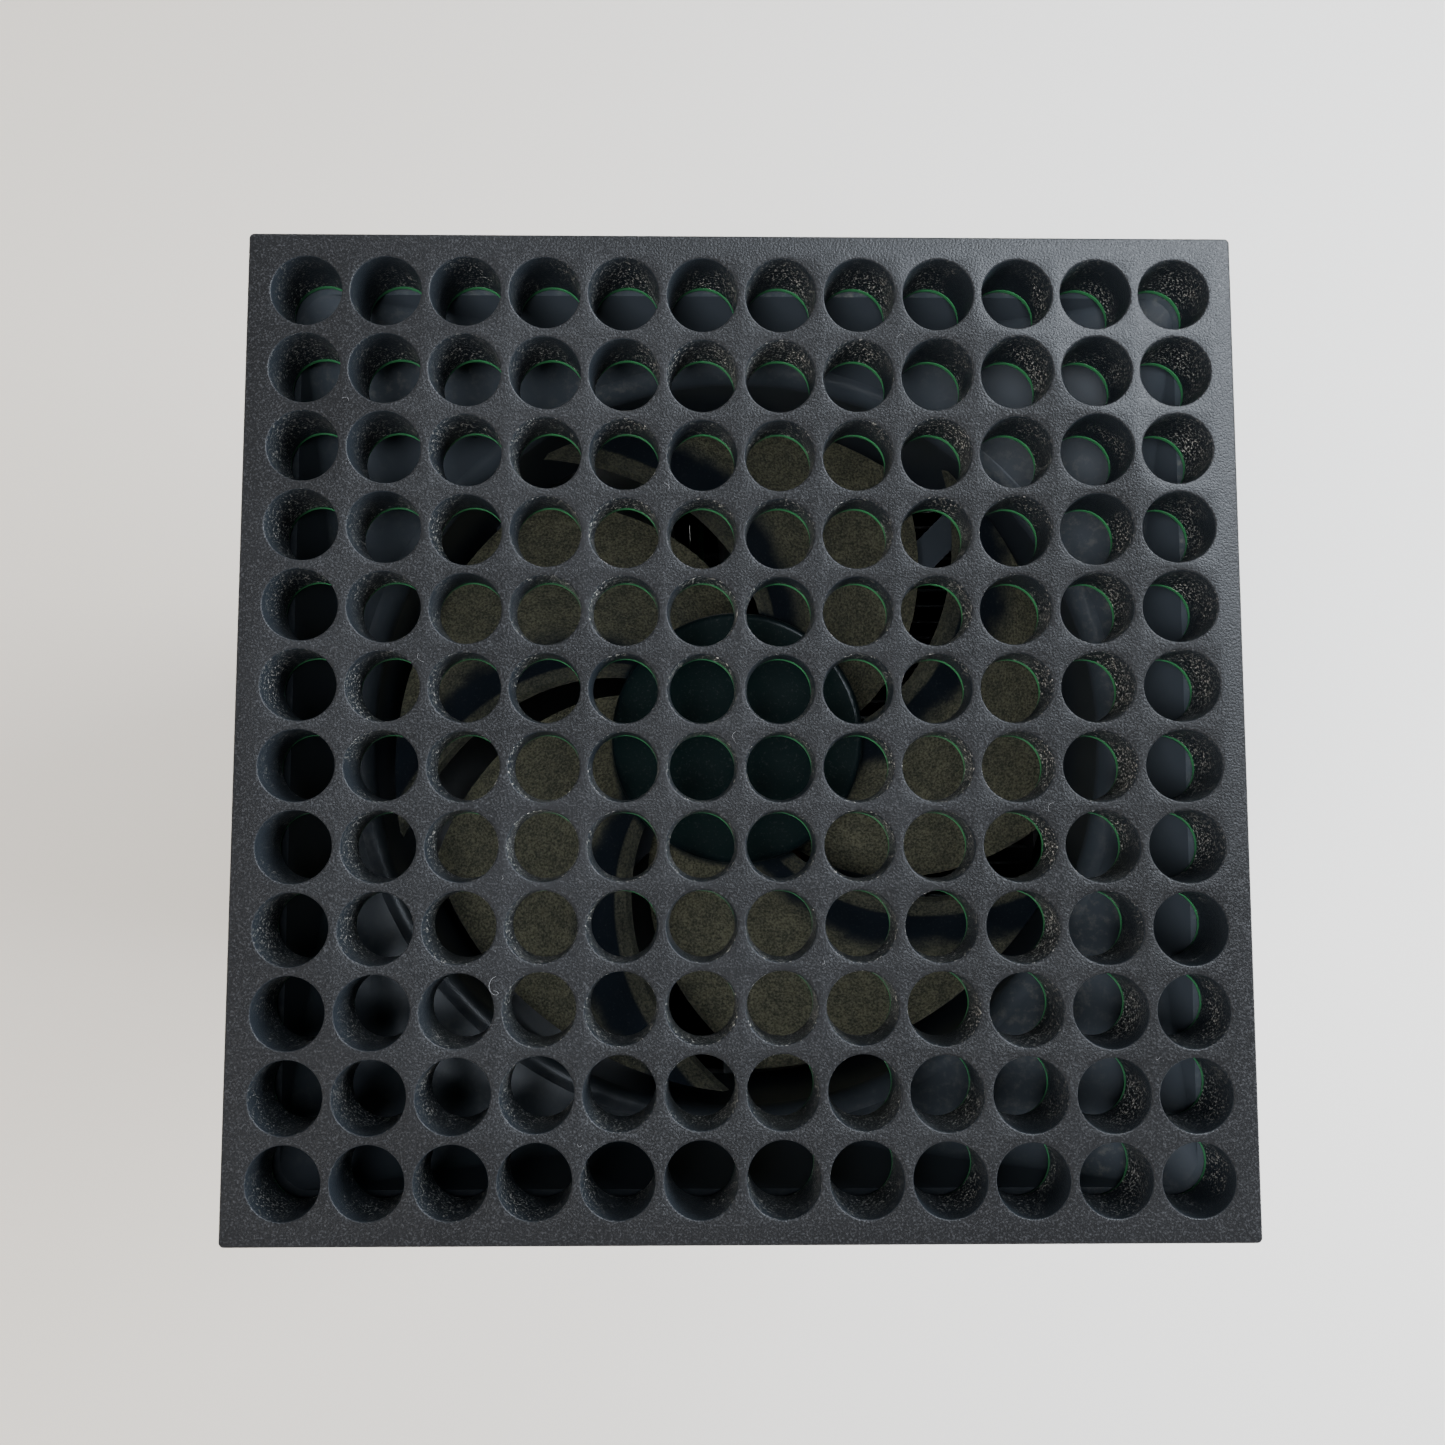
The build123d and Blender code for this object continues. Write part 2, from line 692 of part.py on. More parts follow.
def make_processor_parts():
    """Processor and memory with their pads, and the small parts of the main board."""
    face = board_x + board
    chamber_face = face + chamber_gap
    with BuildPart() as processor_package:
        for x, size in (((face, face + package_thickness), package_size),
                        ((face + package_thickness, chamber_face), die_size)):
            slab(x, around(0, size[0]), around(processor_z, size[1]))
    save(processor_package, "processor_package")
    with BuildPart() as memory_chips:
        for y in memory_columns:
            for z in memory_rows:
                slab((face, face + memory_thickness), around(y, memory_size[0]),
                     around(processor_z + z, memory_size[1]))
        for y in upper_memory_y:
            slab((face, face + memory_thickness), around(y, memory_size[1]),
                 around(processor_z + upper_memory_rise, memory_size[0]))
    save(memory_chips, "memory_chips")
    with BuildPart() as thermal_pads:
        for y in memory_columns:
            slab((face + memory_thickness, chamber_face), around(y, memory_size[0]),
                 around(processor_z, pad_length))
    save(thermal_pads, "thermal_pads")
    with BuildPart() as power_coils:
        for y in coil_columns:
            slab((face, face + coil_size[0]), around(y, coil_size[1]), coil_z)
        fillet(power_coils.edges().filter_by(Axis.X), 1)
    save(power_coils, "power_coils")
    with BuildPart() as coin_cell:
        rod((face, *coin_cell_place), (1, 0, 0), *coin_cell_size)
    save(coin_cell, "coin_cell")


def make_cooler_parts():
    """Vapour chamber on the processor, its fin stack and the duct around the fins."""
    chamber_face = board_x + board + chamber_gap
    chamber_back = chamber_face + chamber_thickness
    duct_z = (chamber_z[0] - 2, chamber_z[1] + 2)
    duct_x = fin_end_x + slip
    with BuildPart() as vapour_chamber:
        slab((chamber_face, chamber_back), chamber_y, chamber_z)
        fillet(vapour_chamber.edges().filter_by(Axis.X), 4)
    save(vapour_chamber, "vapour_chamber")
    fin_z = (chamber_z[0] + 2, chamber_z[1] - 2)
    with BuildPart() as heat_sink_fins:
        for count in range(fin_count):
            place = fin_pitch * (count - (fin_count - 1) / 2)
            slab((chamber_back, fin_end_x), around(place, fin_thickness), fin_z)
    save(heat_sink_fins, "heat_sink_fins")
    with BuildPart() as air_duct:
        slab((duct_x, duct_x + duct_skin), around(0, 2 * duct_half), duct_z)
        for y in (-duct_half, duct_half - duct_skin):
            slab((duct_front_x, duct_x + duct_skin), (y, y + duct_skin), duct_z)
    save(air_duct, "air_duct")


def make_io_parts():
    """Storage card, wireless module, aerials and speaker."""
    face = -board_x - board
    with BuildPart() as storage_card:
        slab((face - card_socket_height, face), card_socket_y, card_board_z)
        slab((face - card_board_lift[1], face - card_board_lift[0]), card_board_y, card_board_z)
    save(storage_card, "storage_card")
    with BuildPart() as wireless_module:
        slab((face - wireless_thickness, face), wireless_y, wireless_z)
        fillet(wireless_module.edges().filter_by(Axis.X), 1)
    save(wireless_module, "wireless_module")
    with BuildPart() as aerials:
        for y in aerial_columns:
            slab(aerial_x, y, aerial_z)
    save(aerials, "aerials")
    cone = (sum(speaker_x) / 2, speaker_y[0], sum(speaker_z) / 2)
    with BuildPart() as speaker:
        slab(speaker_x, speaker_y, speaker_z)
        rod(cone, (0, 1, 0), *speaker_cone, Mode.SUBTRACT)
    save(speaker, "speaker")


def make_power_supply():
    """Power supply: a folded case with a lid, and its board, transformer and capacitors inside."""
    inner_x = (supply_x[0] + supply_skin, supply_x[1] - supply_skin)
    inner_y = (supply_y[0] + supply_skin, supply_y[1] - supply_skin)
    inner_z = (supply_z[0] + supply_skin, supply_z[1] - supply_skin)
    face = inner_x[1] - supply_board_lift - board
    with BuildPart() as power_supply_case:
        slab((supply_x[0] + supply_skin, supply_x[1]), supply_y, supply_z)
        slab((supply_x[0], inner_x[1]), inner_y, inner_z, Mode.SUBTRACT)
        inlet = [size + 2 * socket_skin + slip for size in inlet_opening]
        slab(around(inlet_place[0], inlet[0]), (supply_y[1] - 3, supply_y[1] + 1),
             around(inlet_place[1], inlet[1]), Mode.SUBTRACT)
    save(power_supply_case, "power_supply_case")
    with BuildPart() as power_supply_lid:
        slab((supply_x[0], inner_x[0]), supply_y, supply_z)
    save(power_supply_lid, "power_supply_lid")
    with BuildPart() as power_supply_board:
        slab((face, face + board), (inner_y[0] + 1, supply_board_end), (inner_z[0] + 1, inner_z[1] - 1))
    save(power_supply_board, "power_supply_board")
    with BuildPart() as supply_components:
        slab((face - transformer_height, face), transformer_y, transformer_z)
        fillet(supply_components.edges().filter_by(Axis.X), 3)
        for y in capacitor_columns:
            rod((face, y, capacitor_z), (-1, 0, 0), *capacitor_size)
    save(supply_components, "supply_components")


# ---------------------------------------------------------------- disc drive

def make_disc_drive():
    """Slot-loading drive: moulded base, pressed cover, feed roller, spindle, two rods and laser sled."""
    y, z = disc_axis
    base_x = (drive_x[1] - drive_base, drive_x[1])
    slot_front = (drive_y[0] - 1, drive_y[0] + drive_front_wall)
    slot_ends = (z - slot_height / 2, z + slot_height / 2)
    roller_x = base_x[0] - roller_inset
    with BuildPart() as drive_base_part:
        slab((drive_x[0] + drive_skin, drive_x[1]), drive_y, drive_z)
        slab((drive_x[0] - 1, base_x[0]), (drive_y[0] + drive_wall, drive_y[1] - drive_wall),
             (drive_z[0] + drive_wall, drive_z[1] - drive_wall), Mode.SUBTRACT)
        slab(around(disc_x, slot_width), slot_front, around(z, slot_height), Mode.SUBTRACT)
        for end in (slot_ends[0] + 1.0, slot_ends[1] - 2.5):
            slab((roller_x - 1.0, base_x[0]), around(roller_y, roller_block[0]), (end, end + roller_block[1]))
        rod((roller_x, roller_y, slot_ends[0]), (0, 0, 1), roller_seat, slot_height, Mode.SUBTRACT)
    save(drive_base_part, "drive_base")
    with BuildPart() as drive_cover:
        slab((drive_x[0], drive_x[0] + drive_skin), drive_y, drive_z)
        fillet(drive_cover.edges().filter_by(Axis.X), 2)
    save(drive_cover, "drive_cover")
    with BuildPart() as feed_roller:
        rod((roller_x, roller_y, slot_ends[0] + 0.4), (0, 0, 1), roller_shaft, slot_height - 0.8)
        rod((roller_x, roller_y, slot_ends[0] + 4), (0, 0, 1), roller_radius, slot_height - 8)
    save(feed_roller, "feed_roller")
    with BuildPart() as disc_motor:
        rod((base_x[0], y, z), (-1, 0, 0), *disc_motor_size)
    save(disc_motor, "disc_motor")
    plate_x = base_x[0] - disc_motor_size[1] - spindle_gap
    with BuildPart() as disc_spindle:
        rod((plate_x, y, z), (-1, 0, 0), *spindle_plate)
        rod((plate_x - spindle_plate[1], y, z), (-1, 0, 0), *spindle_hub)
        fillet(disc_spindle.faces().sort_by(Axis.X)[0].edges(), 0.8)
    save(disc_spindle, "disc_spindle")
    rod_x = base_x[0] - guide_rod_lift
    rod_places = (z - guide_rod_spread, z + guide_rod_spread)
    block_x = (base_x[0] - guide_block_height, base_x[0])
    with BuildPart() as guide_rods:
        for place in rod_places:
            rod((rod_x, guide_rod_y[0], place), (0, 1, 0), guide_rod_radius, guide_rod_y[1] - guide_rod_y[0])
            for block_y in (guide_rod_y[0] - guide_block[0], guide_rod_y[1]):
                slab(block_x, (block_y, block_y + guide_block[0]), around(place, guide_block[1]))
    save(guide_rods, "guide_rods")
    sled_y = (guide_rod_y[0] + 1, guide_rod_y[0] + 1 + sled_size[0])
    sled_x = (base_x[0] - sled_lift[1], base_x[0] - sled_lift[0])
    with BuildPart() as laser_sled:
        slab(sled_x, sled_y, around(z, sled_size[1]))
        rod((sled_x[0], sum(sled_y) / 2, z), (-1, 0, 0), *sled_lens)
        for place in rod_places:
            rod((rod_x, sled_y[0] - 1, place), (0, 1, 0), guide_rod_radius + sled_clearance,
                sled_size[0] + 2, Mode.SUBTRACT)
    save(laser_sled, "laser_sled")


# ---------------------------------------------------------------- front controls and sockets

def make_button(name, place, radius):
    """Round button: a cap level with the front, a collar behind the wall and a stem to its switch."""
    x, z = place
    with BuildPart() as button:
        rod((x, -half, z), (0, 1, 0), radius, wall + slip)
        fillet(button.edges().filter_by(GeomType.CIRCLE).sort_by(Axis.Y)[0], 0.4)
        rod((x, -inside + slip, z), (0, 1, 0), radius + button_collar[0], button_collar[1])
        rod((x, -inside + slip, z), (0, 1, 0), *button_stem)
    save(button, name)


def make_button_switches():
    """Push switches between the buttons' stems and their boards, with room for the travel."""
    switch_y = (-inside + slip + button_stem[1] + button_travel + switch_gap, front_board_y[0])
    with BuildPart() as button_switches:
        for x, z in (power_place, eject_place, pair_place):
            slab(around(x, switch_size), switch_y, around(z, switch_size))
    save(button_switches, "button_switches")


def make_front_controls():
    """Buttons, switches, their boards, the infrared window and the front socket."""
    make_button("power_button", power_place, power_radius)
    make_button("eject_button", eject_place, eject_radius)
    make_button("pair_button", pair_place, pair_radius)
    make_button_switches()
    usb = [size + 2 * socket_skin + slip for size in usb_opening]
    with BuildPart() as front_boards:
        slab(around(power_place[0], power_board_size[0]), front_board_y,
             around(power_place[1], power_board_size[1]))
        slab(lower_board_x, front_board_y, lower_board_z)
        slab(around(front_usb_place[0], usb[0]), front_board_y, around(front_usb_place[1], usb[1]),
             Mode.SUBTRACT)
    save(front_boards, "front_boards")
    with BuildPart() as infrared_window:
        rod((window_place[0], -half, window_place[1]), (0, 1, 0), window_radius, wall + 1.0)
    save(infrared_window, "infrared_window")


def make_socket(name, places, opening, mouth, end):
    """Socket shells, open at y = mouth and closed at y = end; places are their (x, z) centres."""
    way = 1 if end > mouth else -1
    outer_y = sorted((mouth, end))
    inner_y = sorted((mouth - way, end - way * socket_back))
    with BuildPart() as socket:
        for x, z in places:
            slab(around(x, opening[0] + 2 * socket_skin), outer_y, around(z, opening[1] + 2 * socket_skin))
            slab(around(x, opening[0]), inner_y, around(z, opening[1]), Mode.SUBTRACT)
    save(socket, name)


def make_sockets():
    """Every socket of the front and the back."""
    make_socket("front_usb_port", [front_usb_place], usb_opening, -socket_mouth, front_usb_end)
    make_socket("rear_usb_ports", rear_usb_places, usb_opening, socket_mouth, rear_socket_end)
    make_socket("video_port", [video_place], video_opening, socket_mouth, rear_socket_end)
    make_socket("network_port", [network_place], network_opening, socket_mouth, rear_socket_end)
    make_socket("expansion_slot", [card_place], card_opening, socket_mouth, card_end)
    make_socket("power_inlet", [inlet_place], inlet_opening, socket_mouth, inlet_end)


os.makedirs("parts", exist_ok=True)
make_top_grille()
make_grille_liner()
make_outer_shell()
make_side_feet()
make_rear_panel()
make_rear_screws()
make_base_plate()
make_bottom_screws()
make_base_foot()
make_foot_ring()
make_fan_impeller()
make_fan_rotor_parts()
make_fan_housing()
make_fan_shroud()
make_fan_motor()
make_fan_screws()
make_core_chassis()
make_mainboard()
make_io_board()
make_board_screws()
make_processor_parts()
make_cooler_parts()
make_io_parts()
make_power_supply()
make_disc_drive()
make_front_controls()
make_sockets()
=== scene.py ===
import json
import math

import bmesh
import bpy
from mathutils import Matrix, Vector


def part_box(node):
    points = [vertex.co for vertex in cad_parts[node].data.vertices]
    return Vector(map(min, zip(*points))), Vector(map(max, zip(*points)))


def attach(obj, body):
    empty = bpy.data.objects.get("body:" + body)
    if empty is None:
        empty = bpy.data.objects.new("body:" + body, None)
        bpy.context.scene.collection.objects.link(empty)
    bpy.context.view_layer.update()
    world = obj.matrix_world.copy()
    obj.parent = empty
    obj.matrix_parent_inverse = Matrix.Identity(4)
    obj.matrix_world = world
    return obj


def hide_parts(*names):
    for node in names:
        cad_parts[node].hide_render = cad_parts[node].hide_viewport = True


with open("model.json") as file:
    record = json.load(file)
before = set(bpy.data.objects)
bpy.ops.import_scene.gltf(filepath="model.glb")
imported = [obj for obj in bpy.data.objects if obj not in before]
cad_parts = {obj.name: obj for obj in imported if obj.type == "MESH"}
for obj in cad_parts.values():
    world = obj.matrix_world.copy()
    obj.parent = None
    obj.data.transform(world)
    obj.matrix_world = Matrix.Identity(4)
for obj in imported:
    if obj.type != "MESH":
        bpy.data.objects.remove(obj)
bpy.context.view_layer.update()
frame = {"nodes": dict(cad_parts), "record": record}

# Looks of a tower games console, seen from straight above. Metres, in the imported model's frame.

MM = 0.001

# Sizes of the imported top, liner and fan
TOP_LOW, TOP_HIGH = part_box("top_grille")
LINER_LOW, LINER_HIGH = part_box("grille_liner")
HUB_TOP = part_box("fan_impeller")[1][2]
BLADE_TOP = HUB_TOP - 2.5 * MM
HALF = TOP_HIGH[0]
DISH_DEPTH = 6.9 * MM
DISH_RADIUS = 72.5 * MM
HOLES = 12
PITCH = 12.09 * MM
LINER_HOLE = 5.2 * MM

# Only in the visual model: hole walls with draft, and the liner's small shift under them
HOLE_TOP = 5.4 * MM
HOLE_BOTTOM = 5.08 * MM
LINER_SHIFT = Vector((-0.10, -0.16, 0.0)) * MM
SEGMENTS = 64            # vertices round a hole, and round the square of plate that it is in
SMOOTH_ANGLE = 38        # degrees; sharper edges are shaded as edges


# ---------------------------------------------------------------- shader helpers

class Surface:
    """A material with one Principled shader, and short ways to add the nodes that drive it."""

    def __init__(self, name, color, roughness=0.5, metallic=0.0, **sockets):
        self.material = bpy.data.materials.new(name)
        self.material.use_nodes = True
        self.tree = self.material.node_tree
        self.shader = self.tree.nodes["Principled BSDF"]
        self.shader.inputs["Base Color"].default_value = (*color, 1)
        self.shader.inputs["Roughness"].default_value = roughness
        self.shader.inputs["Metallic"].default_value = metallic
        for socket, value in sockets.items():
            self.shader.inputs[socket.replace("_", " ")].default_value = value
        self.place = self.add("ShaderNodeTexCoord").outputs["Object"]

    def add(self, kind, **settings):
        node = self.tree.nodes.new(kind)
        for key, value in settings.items():
            setattr(node, key, value)
        return node

    def join(self, source, target):
        """Link an output to an input, or set the input to a number or colour."""
        if isinstance(source, (int, float)):
            target.default_value = source
        elif isinstance(source, tuple):
            target.default_value = (*source, 1) if len(source) == 3 else source
        else:
            self.tree.links.new(source, target)

    def drive(self, socket, source):
        self.join(source, self.shader.inputs[socket])

    def noise(self, scale, detail=2.0, roughness=0.5, stretch=None):
        node = self.add("ShaderNodeTexNoise")
        node.inputs["Scale"].default_value = scale
        node.inputs["Detail"].default_value = detail
        node.inputs["Roughness"].default_value = roughness
        place = self.place
        if stretch:
            mapping = self.add("ShaderNodeMapping")
            mapping.inputs["Scale"].default_value = stretch
            self.join(place, mapping.inputs["Vector"])
            place = mapping.outputs["Vector"]
        self.join(place, node.inputs["Vector"])
        return node.outputs["Fac"]

    def cell_edges(self, scale):
        """Distance from the nearest edge between random cells."""
        node = self.add("ShaderNodeTexVoronoi", feature="DISTANCE_TO_EDGE")
        node.inputs["Scale"].default_value = scale
        self.join(self.place, node.inputs["Vector"])
        return node.outputs["Distance"]

    def step(self, source, low, high, to_low=0.0, to_high=1.0):
        """Smooth change from to_low to to_high as source goes from low to high."""
        node = self.add("ShaderNodeMapRange", interpolation_type="SMOOTHSTEP")
        node.inputs["From Min"].default_value = low
        node.inputs["From Max"].default_value = high
        node.inputs["To Min"].default_value = to_low
        node.inputs["To Max"].default_value = to_high
        self.join(source, node.inputs["Value"])
        return node.outputs["Result"]

    def math(self, operation, first, second=0.0):
        node = self.add("ShaderNodeMath", operation=operation)
        self.join(first, node.inputs[0])
        self.join(second, node.inputs[1])
        return node.outputs["Value"]

    def times(self, first, second):
        return self.math("MULTIPLY", first, second)

    def plus(self, first, second):
        return self.math("ADD", first, second)

    def blend(self, share, first, second):
        """Colour that goes from first to second as share goes from 0 to 1."""
        node = self.add("ShaderNodeMix", data_type="RGBA")
        self.join(share, node.inputs[0])
        self.join(first, node.inputs[6])
        self.join(second, node.inputs[7])
        return node.outputs[2]

    def part(self, source, letter):
        node = self.add("ShaderNodeSeparateXYZ")
        self.join(source, node.inputs[0])
        return node.outputs[letter]

    def facing(self):
        """How far the true surface faces up, from -1 to 1."""
        return self.part(self.add("ShaderNodeNewGeometry").outputs["Normal"], "Z")

    def bump(self, *layers):
        """Relief from (height, distance in metres, strength) layers, one over the other."""
        normal = None
        for height, distance, strength in layers:
            node = self.add("ShaderNodeBump")
            node.inputs["Distance"].default_value = distance
            node.inputs["Strength"].default_value = strength
            self.join(height, node.inputs["Height"])
            if normal:
                self.join(normal, node.inputs["Normal"])
            normal = node.outputs["Normal"]
        self.drive("Normal", normal)


# ---------------------------------------------------------------- materials

def case_plastic(name="case_plastic", wall_dust_and_shade=False):
    """Charcoal moulding with a fine leathery grain; in the vent holes, walls in painted shade, a dark bluish
    slate, with specks of dust.
    """
    surface = Surface(name, (0.05, 0.053, 0.06), roughness=0.42, Specular_IOR_Level=0.45)
    grain = surface.noise(3300, detail=2, roughness=0.55)
    fine = surface.noise(5200, detail=1)
    cloud = surface.noise(14, detail=4, roughness=0.55)
    dark, light, peak = (0.0095, 0.010, 0.0112), (0.014, 0.0148, 0.0168), (0.050, 0.053, 0.060)
    tone = surface.blend(surface.step(cloud, 0.3, 0.7), dark, light)
    tone = surface.blend(surface.times(surface.step(grain, 0.5, 0.72), 0.55), tone, peak)
    rough = surface.step(grain, 0.3, 0.7, 0.34, 0.5)
    layers = [(grain, 0.14 * MM, 0.65), (fine, 0.03 * MM, 0.35)]
    if wall_dust_and_shade:
        # upright faces, except the outer sides, which lie beyond the hole grid
        from_middle = surface.math("MAXIMUM", surface.math("ABSOLUTE", surface.part(surface.place, "X")),
                                   surface.math("ABSOLUTE", surface.part(surface.place, "Y")))
        inside = surface.step(from_middle, HALF - 1.4 * MM, HALF - 1.9 * MM)
        upright = surface.step(surface.math("ABSOLUTE", surface.facing()), 0.86, 0.6)
        upright = surface.times(upright, inside)
        patch = surface.step(surface.noise(80, detail=3, roughness=0.6), 0.36, 0.66)
        height = surface.part(surface.place, "Z")
        low = surface.step(height, TOP_HIGH[2] - 0.4 * MM, TOP_HIGH[2] - 7 * MM, 0.15, 1.0)
        specks = surface.step(surface.noise(2600, detail=4, roughness=0.75), 0.56, 0.61)
        dust = surface.times(surface.times(upright, patch), surface.times(specks, low))
        slate, speck = (0.013, 0.017, 0.0225), (0.66, 0.66, 0.62)
        # painted shade: the hole walls are turned to a dark bluish slate, unlike the face around them
        tone = surface.blend(surface.times(upright, 0.9), tone, slate)
        tone = surface.blend(dust, tone, speck)
        layers.append((dust, 0.25 * MM, 0.8))
        rough = surface.plus(rough, surface.times(dust, 0.3))
    surface.drive("Base Color", tone)
    surface.drive("Roughness", rough)
    surface.bump(*layers)
    return surface.material


def liner_paint():
    """Satin green paint under an uneven film of dust."""
    surface = Surface("liner_paint", (0.02, 0.28, 0.06), roughness=0.35)
    mottle = surface.noise(600, detail=3)
    dust = surface.step(surface.noise(900, detail=4, roughness=0.7), 0.55, 0.72)
    deep, bright, grey = (0.017, 0.19, 0.057), (0.028, 0.26, 0.083), (0.12, 0.145, 0.14)
    film = surface.plus(surface.times(dust, 0.35), 0.15)
    surface.drive("Base Color", surface.blend(film, surface.blend(mottle, deep, bright), grey))
    surface.drive("Roughness", surface.step(mottle, 0.3, 0.7, 0.28, 0.45))
    surface.bump((surface.noise(2500, detail=2), 0.03 * MM, 0.5))
    return surface.material


def blade_plastic():
    """Dark satin fan moulding: a felt of tan dust on the blades' lower parts, clean hub and upper edges."""
    surface = Surface("fan_plastic", (0.02, 0.03, 0.035), roughness=0.42, Specular_IOR_Level=0.25)
    x = surface.part(surface.place, "X")
    y = surface.part(surface.place, "Y")
    z = surface.part(surface.place, "Z")
    radius = surface.math("SQRT", surface.plus(surface.times(x, x), surface.times(y, y)))
    outside_hub = surface.step(radius, 22.0 * MM, 23.5 * MM)
    wander = surface.times(surface.math("SUBTRACT", surface.noise(60, detail=4, roughness=0.6), 0.5), 7 * MM)
    low = surface.step(surface.plus(z, wander), BLADE_TOP - 3.2 * MM, BLADE_TOP - 6.5 * MM)
    rim = surface.times(surface.step(surface.plus(z, surface.times(wander, 0.1)),
                                     BLADE_TOP - 1.1 * MM, BLADE_TOP - 0.7 * MM), 0.55)
    up = surface.step(surface.facing(), 0.05, 0.4)
    felt = surface.noise(2300, detail=5, roughness=0.72)
    clump = surface.noise(420, detail=3, roughness=0.6)
    cover = surface.step(surface.plus(surface.times(felt, 0.6), surface.times(clump, 0.4)), 0.36, 0.62)
    patchy = surface.times(up, surface.step(cover, 0.0, 1.0, 0.5, 1.0))
    dust = surface.times(surface.times(surface.math("MAXIMUM", low, rim), outside_hub), patchy)
    hub_tone, blade_tone = (0.0015, 0.0068, 0.0072), (0.007, 0.010, 0.015)
    clean = surface.blend(surface.step(radius, 20.0 * MM, 23.5 * MM), hub_tone, blade_tone)
    film = surface.times(surface.step(surface.noise(2200, detail=4, roughness=0.75), 0.56, 0.7), 0.12)
    clean = surface.blend(film, clean, (0.2, 0.21, 0.2))
    tan = surface.blend(surface.step(felt, 0.3, 0.7), (0.042, 0.045, 0.033), (0.155, 0.158, 0.114))
    surface.drive("Base Color", surface.blend(dust, clean, tan))
    surface.drive("Roughness", surface.plus(0.34, surface.times(dust, 0.55)))
    surface.bump((surface.noise(1800, detail=2), 0.03 * MM, 0.3),
                 (surface.times(dust, felt), 0.35 * MM, 0.8))
    return surface.material


def housing_plastic():
    """Smooth duct moulding with painted light and shade: slate on its +X +Y side, towards the window lamp,
    and nearly black opposite; a thin film of dust, heavier and paler on the lit side, where it partly paints
    the light.
    """
    surface = Surface("housing_plastic", (0.03, 0.035, 0.042), roughness=0.42, Specular_IOR_Level=0.35)
    film = surface.noise(700, detail=4, roughness=0.7)
    patch = surface.step(surface.noise(45, detail=3), 0.35, 0.7)
    up = surface.step(surface.facing(), 0.2, 0.9)
    toward_lit_side = surface.plus(surface.part(surface.place, "X"), surface.part(surface.place, "Y"))
    # dust on up-facing faces, heavier on the +X +Y side, where its pale patches also paint the light that
    # falls through the holes
    dust = surface.times(surface.times(surface.step(film, 0.45, 0.75), patch),
                         surface.times(up, surface.step(toward_lit_side, -0.08, 0.01, 0.1, 0.45)))
    # painted light and shade: slate on the +X +Y side, which faces the window lamp, nearly black on the side
    # away from it
    black, slate, grey = (0.013, 0.0165, 0.022), (0.038, 0.047, 0.060), (0.17, 0.17, 0.155)
    tone = surface.blend(surface.step(toward_lit_side, -0.08, 0.01), black, slate)
    surface.drive("Base Color", surface.blend(dust, tone, grey))
    surface.drive("Roughness", surface.plus(0.36, surface.times(dust, 0.5)))
    surface.bump((surface.noise(1600, detail=2), 0.02 * MM, 0.35), (dust, 0.1 * MM, 0.5))
    return surface.material


def plain_plastic(name, color, roughness=0.5, scale=1800):
    """Moulded plastic with a fine grain and slow changes of tone."""
    surface = Surface(name, color, roughness=roughness)
    cloud = surface.noise(30, detail=3)
    darker = tuple(channel * 0.82 for channel in color)
    lighter = tuple(channel * 1.18 for channel in color)
    surface.drive("Base Color", surface.blend(cloud, darker, lighter))
    grain = surface.noise(scale, detail=2)
    surface.drive("Roughness", surface.step(grain, 0.3, 0.7, roughness - 0.06, roughness + 0.08))
    surface.bump((grain, 0.05 * MM, 0.4))
    return surface.material


def soft_rubber():
    """Dull black rubber with a slight bloom."""
    surface = Surface("soft_rubber", (0.022, 0.022, 0.023), roughness=0.82)
    bloom = surface.noise(120, detail=5, roughness=0.65)
    tone = surface.blend(surface.step(bloom, 0.45, 0.75), (0.02, 0.02, 0.021), (0.055, 0.055, 0.054))
    surface.drive("Base Color", tone)
    surface.bump((surface.noise(2600, detail=3), 0.05 * MM, 0.5))
    return surface.material


def metal(name, color, roughness, stretch=None, scale=900, depth=0.02):
    """Metal whose roughness and relief follow a noise, stretched along the grain if it has one."""
    surface = Surface(name, color, roughness=roughness, metallic=1.0)
    grain = surface.noise(scale, detail=4, roughness=0.6, stretch=stretch)
    smear = surface.noise(25, detail=4)
    darker = tuple(channel * 0.8 for channel in color)
    surface.drive("Base Color", surface.blend(surface.step(smear, 0.3, 0.75), color, darker))
    surface.drive("Roughness", surface.step(grain, 0.25, 0.75, roughness - 0.08, roughness + 0.12))
    surface.bump((grain, depth * MM, 0.6))
    return surface.material


def circuit_board():
    """Solder mask with faint traces and a slightly uneven gloss."""
    surface = Surface("circuit_board", (0.008, 0.04, 0.02), roughness=0.3, Coat_Weight=0.3)
    tracks = surface.step(surface.cell_edges(420), 0.05, 0.09)
    surface.drive("Base Color", surface.blend(tracks, (0.014, 0.075, 0.035), (0.006, 0.032, 0.016)))
    surface.bump((tracks, 0.03 * MM, 0.5))
    return surface.material


def enamelled_wire():
    """Copper windings: fine turns under amber enamel."""
    surface = Surface("enamelled_wire", (0.55, 0.20, 0.06), roughness=0.28, metallic=0.85)
    turns = surface.noise(900, detail=1, stretch=(0.15, 0.15, 3.0))
    surface.drive("Base Color", surface.blend(turns, (0.42, 0.13, 0.03), (0.68, 0.30, 0.10)))
    surface.bump((turns, 0.12 * MM, 0.8))
    return surface.material


